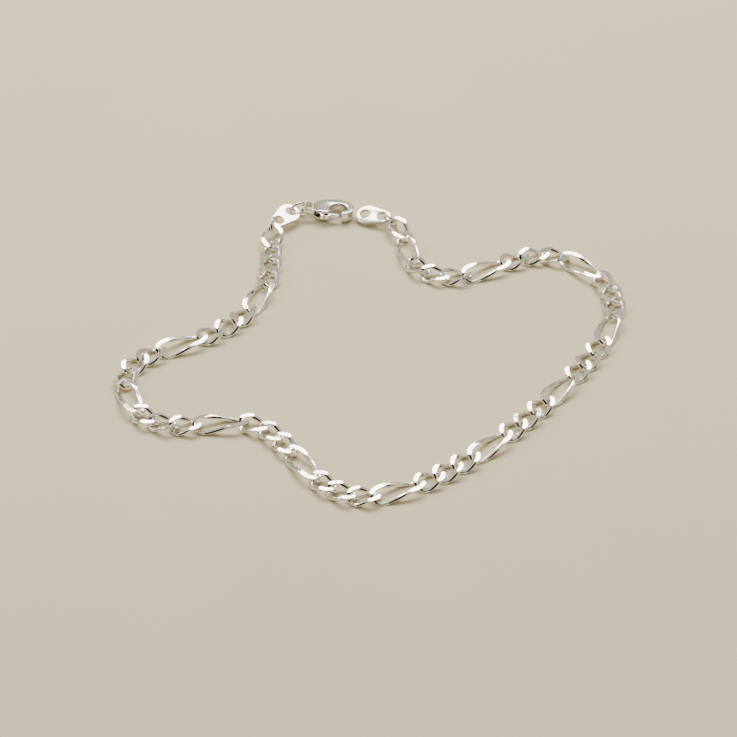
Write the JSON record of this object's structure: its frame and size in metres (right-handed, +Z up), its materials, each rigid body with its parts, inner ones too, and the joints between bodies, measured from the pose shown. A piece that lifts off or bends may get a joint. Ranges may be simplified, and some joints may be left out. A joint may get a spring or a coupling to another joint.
{
  "type": "figaro chain with lobster clasp",
  "caption": "Flat curb chain of short and long oval links, with end tags, jump rings and a lobster clasp with a sprung lever.",
  "frame": {"origin": "under the middle of the loop, on the surface that the chain lies on", "axes": "+X across the loop to the right, +Y to the side of the clasp, +Z up from the surface"},
  "size_m": [0.0862, 0.0802, 0.0034],
  "materials": {
    "polished_silver_short_links": "polished",
    "polished_silver_long_links": "polished",
    "polished_silver_rings": "polished",
    "satin_silver_tags": "satin",
    "polished_silver_clasp": "polished",
    "polished_silver_lever": "polished",
    "steel_pin": "satin",
    "spring_steel": "satin"
  },
  "bodies": {
    "clasp_body": {"clasp_body": "polished_silver_clasp", "clasp_pin": "steel_pin", "clasp_spring": "spring_steel"},
    "jump_ring_clasp": {"jump_ring_clasp": "polished_silver_rings"},
    "end_tag_a": {"end_tag_a": "satin_silver_tags"},
    "jump_ring_a": {"jump_ring_a": "polished_silver_rings"},
    "short_link_01": {"short_link_01": "polished_silver_short_links"},
    "short_link_02": {"short_link_02": "polished_silver_short_links"},
    "short_link_03": {"short_link_03": "polished_silver_short_links"},
    "short_link_04": {"short_link_04": "polished_silver_short_links"},
    "long_link_01": {"long_link_01": "polished_silver_long_links"},
    "short_link_05": {"short_link_05": "polished_silver_short_links"},
    "short_link_06": {"short_link_06": "polished_silver_short_links"},
    "short_link_07": {"short_link_07": "polished_silver_short_links"},
    "long_link_02": {"long_link_02": "polished_silver_long_links"},
    "short_link_08": {"short_link_08": "polished_silver_short_links"},
    "short_link_09": {"short_link_09": "polished_silver_short_links"},
    "short_link_10": {"short_link_10": "polished_silver_short_links"},
    "long_link_03": {"long_link_03": "polished_silver_long_links"},
    "short_link_11": {"short_link_11": "polished_silver_short_links"},
    "short_link_12": {"short_link_12": "polished_silver_short_links"},
    "short_link_13": {"short_link_13": "polished_silver_short_links"},
    "long_link_04": {"long_link_04": "polished_silver_long_links"},
    "short_link_14": {"short_link_14": "polished_silver_short_links"},
    "short_link_15": {"short_link_15": "polished_silver_short_links"},
    "short_link_16": {"short_link_16": "polished_silver_short_links"},
    "long_link_05": {"long_link_05": "polished_silver_long_links"},
    "short_link_17": {"short_link_17": "polished_silver_short_links"},
    "short_link_18": {"short_link_18": "polished_silver_short_links"},
    "short_link_19": {"short_link_19": "polished_silver_short_links"},
    "long_link_06": {"long_link_06": "polished_silver_long_links"},
    "short_link_20": {"short_link_20": "polished_silver_short_links"},
    "short_link_21": {"short_link_21": "polished_silver_short_links"},
    "short_link_22": {"short_link_22": "polished_silver_short_links"},
    "long_link_07": {"long_link_07": "polished_silver_long_links"},
    "short_link_23": {"short_link_23": "polished_silver_short_links"},
    "short_link_24": {"short_link_24": "polished_silver_short_links"},
    "short_link_25": {"short_link_25": "polished_silver_short_links"},
    "long_link_08": {"long_link_08": "polished_silver_long_links"},
    "short_link_26": {"short_link_26": "polished_silver_short_links"},
    "short_link_27": {"short_link_27": "polished_silver_short_links"},
    "short_link_28": {"short_link_28": "polished_silver_short_links"},
    "long_link_09": {"long_link_09": "polished_silver_long_links"},
    "short_link_29": {"short_link_29": "polished_silver_short_links"},
    "short_link_30": {"short_link_30": "polished_silver_short_links"},
    "short_link_31": {"short_link_31": "polished_silver_short_links"},
    "long_link_10": {"long_link_10": "polished_silver_long_links"},
    "short_link_32": {"short_link_32": "polished_silver_short_links"},
    "short_link_33": {"short_link_33": "polished_silver_short_links"},
    "short_link_34": {"short_link_34": "polished_silver_short_links"},
    "long_link_11": {"long_link_11": "polished_silver_long_links"},
    "short_link_35": {"short_link_35": "polished_silver_short_links"},
    "short_link_36": {"short_link_36": "polished_silver_short_links"},
    "short_link_37": {"short_link_37": "polished_silver_short_links"},
    "long_link_12": {"long_link_12": "polished_silver_long_links"},
    "short_link_38": {"short_link_38": "polished_silver_short_links"},
    "jump_ring_b": {"jump_ring_b": "polished_silver_rings"},
    "end_tag_b": {"end_tag_b": "satin_silver_tags"},
    "clasp_lever": {"clasp_lever": "polished_silver_lever"}
  },
  "joints": [
    {"name": "fold_short_link_19", "type": "hinge", "parent": "long_link_06", "child": "short_link_19", "pos_m": [0.00036, -0.03816, 0.00077], "axis": [-0.1846, 0.9828, 0], "range_deg": [-30, 30]},
    {"name": "fold_short_link_18", "type": "hinge", "parent": "short_link_19", "child": "short_link_18", "pos_m": [-0.00334, -0.03805, 0.00077], "axis": [-0.2521, -0.9677, 0], "range_deg": [-30, 30]},
    {"name": "fold_short_link_17", "type": "hinge", "parent": "short_link_18", "child": "short_link_17", "pos_m": [-0.00662, -0.03634, 0.00078], "axis": [0.5945, 0.8041, 0], "range_deg": [-30, 30]},
    {"name": "fold_long_link_05", "type": "hinge", "parent": "short_link_17", "child": "long_link_05", "pos_m": [-0.00922, -0.03371, 0.00079], "axis": [-0.7799, -0.6258, 0], "range_deg": [-30, 30]},
    {"name": "fold_short_link_16", "type": "hinge", "parent": "long_link_05", "child": "short_link_16", "pos_m": [-0.01334, -0.02733, 0.0008], "axis": [0.8487, 0.5289, 0], "range_deg": [-30, 30]},
    {"name": "fold_short_link_15", "type": "hinge", "parent": "short_link_16", "child": "short_link_15", "pos_m": [-0.01525, -0.02415, 0.0008], "axis": [-0.8045, -0.594, 0], "range_deg": [-30, 30]},
    {"name": "fold_short_link_14", "type": "hinge", "parent": "short_link_15", "child": "short_link_14", "pos_m": [-0.01772, -0.0214, 0.00081], "axis": [0.5888, 0.8083, 0], "range_deg": [-30, 30]},
    {"name": "fold_long_link_04", "type": "hinge", "parent": "short_link_14", "child": "long_link_04", "pos_m": [-0.0211, -0.01989, 0.00082], "axis": [-0.1581, -0.9874, 0], "range_deg": [-30, 30]},
    {"name": "fold_short_link_13", "type": "hinge", "parent": "long_link_04", "child": "short_link_13", "pos_m": [-0.02866, -0.02067, 0.00082], "axis": [-0.07, 0.9975, 0], "range_deg": [-30, 30]},
    {"name": "fold_short_link_12", "type": "hinge", "parent": "short_link_13", "child": "short_link_12", "pos_m": [-0.03236, -0.02081, 0.00083], "axis": [-0.1263, -0.992, 0], "range_deg": [-30, 30]},
    {"name": "fold_short_link_11", "type": "hinge", "parent": "short_link_12", "child": "short_link_11", "pos_m": [-0.0359, -0.01974, 0.00084], "axis": [0.4825, 0.8759, 0], "range_deg": [-30, 30]},
    {"name": "fold_long_link_03", "type": "hinge", "parent": "short_link_11", "child": "long_link_03", "pos_m": [-0.03869, -0.01732, 0.00084], "axis": [-0.823, -0.5681, 0], "range_deg": [-30, 30]},
    {"name": "fold_short_link_10", "type": "hinge", "parent": "long_link_03", "child": "short_link_10", "pos_m": [-0.04132, -0.01019, 0.00085], "axis": [0.9959, 0.09, 0], "range_deg": [-30, 30]},
    {"name": "fold_short_link_09", "type": "hinge", "parent": "short_link_10", "child": "short_link_09", "pos_m": [-0.04068, -0.00654, 0.00085], "axis": [-0.9273, 0.3744, 0], "range_deg": [-30, 30]},
    {"name": "fold_short_link_08", "type": "hinge", "parent": "short_link_09", "child": "short_link_08", "pos_m": [-0.03861, -0.00348, 0.00086], "axis": [0.7095, -0.7047, 0], "range_deg": [-30, 30]},
    {"name": "fold_long_link_02", "type": "hinge", "parent": "short_link_08", "child": "long_link_02", "pos_m": [-0.03556, -0.00138, 0.00086], "axis": [-0.5122, 0.8589, 0], "range_deg": [-30, 30]},
    {"name": "fold_short_link_07", "type": "hinge", "parent": "long_link_02", "child": "short_link_07", "pos_m": [-0.0288, 0.00209, 0.00086], "axis": [0.5141, -0.8577, 0], "range_deg": [-30, 30]},
    {"name": "fold_short_link_06", "type": "hinge", "parent": "short_link_07", "child": "short_link_06", "pos_m": [-0.02576, 0.00419, 0.00087], "axis": [-0.6373, 0.7707, 0], "range_deg": [-30, 30]},
    {"name": "fold_short_link_05", "type": "hinge", "parent": "short_link_06", "child": "short_link_05", "pos_m": [-0.02312, 0.00679, 0.00087], "axis": [0.7647, -0.6444, 0], "range_deg": [-30, 30]},
    {"name": "fold_long_link_01", "type": "hinge", "parent": "short_link_05", "child": "long_link_01", "pos_m": [-0.02101, 0.00983, 0.00088], "axis": [-0.8871, 0.4616, 0], "range_deg": [-30, 30]},
    {"name": "fold_short_link_04", "type": "hinge", "parent": "long_link_01", "child": "short_link_04", "pos_m": [-0.01838, 0.01696, 0.00088], "axis": [0.9698, -0.2439, 0], "range_deg": [-30, 30]},
    {"name": "fold_short_link_03", "type": "hinge", "parent": "short_link_04", "child": "short_link_03", "pos_m": [-0.01786, 0.02062, 0.00088], "axis": [-0.9966, 0.0825, 0], "range_deg": [-30, 30]},
    {"name": "fold_short_link_02", "type": "hinge", "parent": "short_link_03", "child": "short_link_02", "pos_m": [-0.01777, 0.02432, 0.00088], "axis": [1, -0.0035, 0], "range_deg": [-30, 30]},
    {"name": "fold_short_link_01", "type": "hinge", "parent": "short_link_02", "child": "short_link_01", "pos_m": [-0.01784, 0.02802, 0.00088], "axis": [-0.9998, 0.0206, 0], "range_deg": [-30, 30]},
    {"name": "fold_jump_ring_a", "type": "hinge", "parent": "short_link_01", "child": "jump_ring_a", "pos_m": [-0.01762, 0.03161, 0.00175], "axis": [0.9879, -0.1551, 0], "range_deg": [-30, 30]},
    {"name": "fold_end_tag_a", "type": "hinge", "parent": "jump_ring_a", "child": "end_tag_a", "pos_m": [-0.0171, 0.03365, 0.00175], "axis": [-0.9002, 0.4355, 0], "range_deg": [-30, 30]},
    {"name": "fold_jump_ring_clasp", "type": "hinge", "parent": "end_tag_a", "child": "jump_ring_clasp", "pos_m": [-0.01418, 0.03745, 0.00175], "axis": [0.6067, -0.795, 0], "range_deg": [-30, 30]},
    {"name": "fold_clasp_body", "type": "hinge", "parent": "jump_ring_clasp", "child": "clasp_body", "pos_m": [-0.01224, 0.03825, 0.00175], "axis": [-0.1573, 0.9875, 0], "range_deg": [-30, 30]},
    {"name": "fold_short_link_20", "type": "hinge", "parent": "long_link_06", "child": "short_link_20", "pos_m": [0.00736, -0.0352, 0.00077], "axis": [0.4805, -0.877, 0], "range_deg": [-30, 30]},
    {"name": "fold_short_link_21", "type": "hinge", "parent": "short_link_20", "child": "short_link_21", "pos_m": [0.01041, -0.0331, 0.00077], "axis": [-0.5919, 0.806, 0], "range_deg": [-30, 30]},
    {"name": "fold_short_link_22", "type": "hinge", "parent": "short_link_21", "child": "short_link_22", "pos_m": [0.01332, -0.03082, 0.00078], "axis": [0.6366, -0.7712, 0], "range_deg": [-30, 30]},
    {"name": "fold_long_link_07", "type": "hinge", "parent": "short_link_22", "child": "long_link_07", "pos_m": [0.01611, -0.0284, 0.00079], "axis": [-0.6834, 0.73, 0], "range_deg": [-30, 30]},
    {"name": "fold_short_link_23", "type": "hinge", "parent": "long_link_07", "child": "short_link_23", "pos_m": [0.02147, -0.023, 0.0008], "axis": [0.7303, -0.6831, 0], "range_deg": [-30, 30]},
    {"name": "fold_short_link_24", "type": "hinge", "parent": "short_link_23", "child": "short_link_24", "pos_m": [0.02391, -0.02022, 0.0008], "axis": [-0.7609, 0.6488, 0], "range_deg": [-30, 30]},
    {"name": "fold_short_link_25", "type": "hinge", "parent": "short_link_24", "child": "short_link_25", "pos_m": [0.02627, -0.01737, 0.00081], "axis": [0.7797, -0.6261, 0], "range_deg": [-30, 30]},
    {"name": "fold_long_link_08", "type": "hinge", "parent": "short_link_25", "child": "long_link_08", "pos_m": [0.02855, -0.01446, 0.00082], "axis": [-0.8003, 0.5996, 0], "range_deg": [-30, 30]},
    {"name": "fold_short_link_26", "type": "hinge", "parent": "long_link_08", "child": "short_link_26", "pos_m": [0.03298, -0.00828, 0.00082], "axis": [0.827, -0.5622, 0], "range_deg": [-30, 30]},
    {"name": "fold_short_link_27", "type": "hinge", "parent": "short_link_26", "child": "short_link_27", "pos_m": [0.03498, -0.00517, 0.00083], "axis": [-0.8503, 0.5263, 0], "range_deg": [-30, 30]},
    {"name": "fold_short_link_28", "type": "hinge", "parent": "short_link_27", "child": "short_link_28", "pos_m": [0.03687, -0.00199, 0.00084], "axis": [0.873, -0.4876, 0], "range_deg": [-30, 30]},
    {"name": "fold_long_link_09", "type": "hinge", "parent": "short_link_28", "child": "long_link_09", "pos_m": [0.03859, 0.00129, 0.00084], "axis": [-0.9206, 0.3904, 0], "range_deg": [-30, 30]},
    {"name": "fold_short_link_29", "type": "hinge", "parent": "long_link_09", "child": "short_link_29", "pos_m": [0.04098, 0.0085, 0.00085], "axis": [0.9823, -0.1872, 0], "range_deg": [-30, 30]},
    {"name": "fold_short_link_30", "type": "hinge", "parent": "short_link_29", "child": "short_link_30", "pos_m": [0.04119, 0.0122, 0.00085], "axis": [-0.9984, -0.0569, 0], "range_deg": [-30, 30]},
    {"name": "fold_short_link_31", "type": "hinge", "parent": "short_link_30", "child": "short_link_31", "pos_m": [0.04056, 0.01584, 0.00086], "axis": [0.9557, 0.2944, 0], "range_deg": [-30, 30]},
    {"name": "fold_long_link_10", "type": "hinge", "parent": "short_link_31", "child": "long_link_10", "pos_m": [0.03903, 0.01921, 0.00086], "axis": [-0.8109, -0.5851, 0], "range_deg": [-30, 30]},
    {"name": "fold_short_link_32", "type": "hinge", "parent": "long_link_10", "child": "short_link_32", "pos_m": [0.03345, 0.02438, 0.00086], "axis": [0.486, 0.874, 0], "range_deg": [-30, 30]},
    {"name": "fold_short_link_33", "type": "hinge", "parent": "short_link_32", "child": "short_link_33", "pos_m": [0.02989, 0.02536, 0.00087], "axis": [-0.0433, -0.9991, 0], "range_deg": [-30, 30]},
    {"name": "fold_short_link_34", "type": "hinge", "parent": "short_link_33", "child": "short_link_34", "pos_m": [0.02625, 0.02469, 0.00087], "axis": [-0.3204, 0.9473, 0], "range_deg": [-30, 30]},
    {"name": "fold_long_link_11", "type": "hinge", "parent": "short_link_34", "child": "long_link_11", "pos_m": [0.02295, 0.02301, 0.00088], "axis": [0.4594, -0.8882, 0], "range_deg": [-30, 30]},
    {"name": "fold_short_link_35", "type": "hinge", "parent": "long_link_11", "child": "short_link_35", "pos_m": [0.01622, 0.01948, 0.00088], "axis": [-0.3019, 0.9533, 0], "range_deg": [-30, 30]},
    {"name": "fold_short_link_36", "type": "hinge", "parent": "short_link_35", "child": "short_link_36", "pos_m": [0.01255, 0.019, 0.00088], "axis": [-0.1032, -0.9947, 0], "range_deg": [-30, 30]},
    {"name": "fold_short_link_37", "type": "hinge", "parent": "short_link_36", "child": "short_link_37", "pos_m": [0.00906, 0.02023, 0.00088], "axis": [0.5819, 0.8133, 0], "range_deg": [-30, 30]},
    {"name": "fold_long_link_12", "type": "hinge", "parent": "short_link_37", "child": "long_link_12", "pos_m": [0.00677, 0.02313, 0.00088], "axis": [-0.9074, -0.4202, 0], "range_deg": [-30, 30]},
    {"name": "fold_short_link_38", "type": "hinge", "parent": "long_link_12", "child": "short_link_38", "pos_m": [0.00526, 0.03058, 0.00088], "axis": [0.9551, 0.2964, 0], "range_deg": [-30, 30]},
    {"name": "fold_jump_ring_b", "type": "hinge", "parent": "short_link_38", "child": "jump_ring_b", "pos_m": [0.00383, 0.03392, 0.00161], "axis": [-0.8276, -0.5613, 0], "range_deg": [-30, 30]},
    {"name": "fold_end_tag_b", "type": "hinge", "parent": "jump_ring_b", "child": "end_tag_b", "pos_m": [0.00235, 0.0354, 0.00161], "axis": [0.5519, 0.8339, 0], "range_deg": [-30, 30]},
    {"name": "lever_press", "type": "hinge", "parent": "clasp_body", "child": "clasp_lever", "pos_m": [-0.0093, 0.03744, 0.00153], "axis": [0.0748, -0.0054, 0.9972], "range_deg": [0, 22], "stiffness_Nm_per_rad": 0.004, "springref_deg": -11.46}
  ]
}
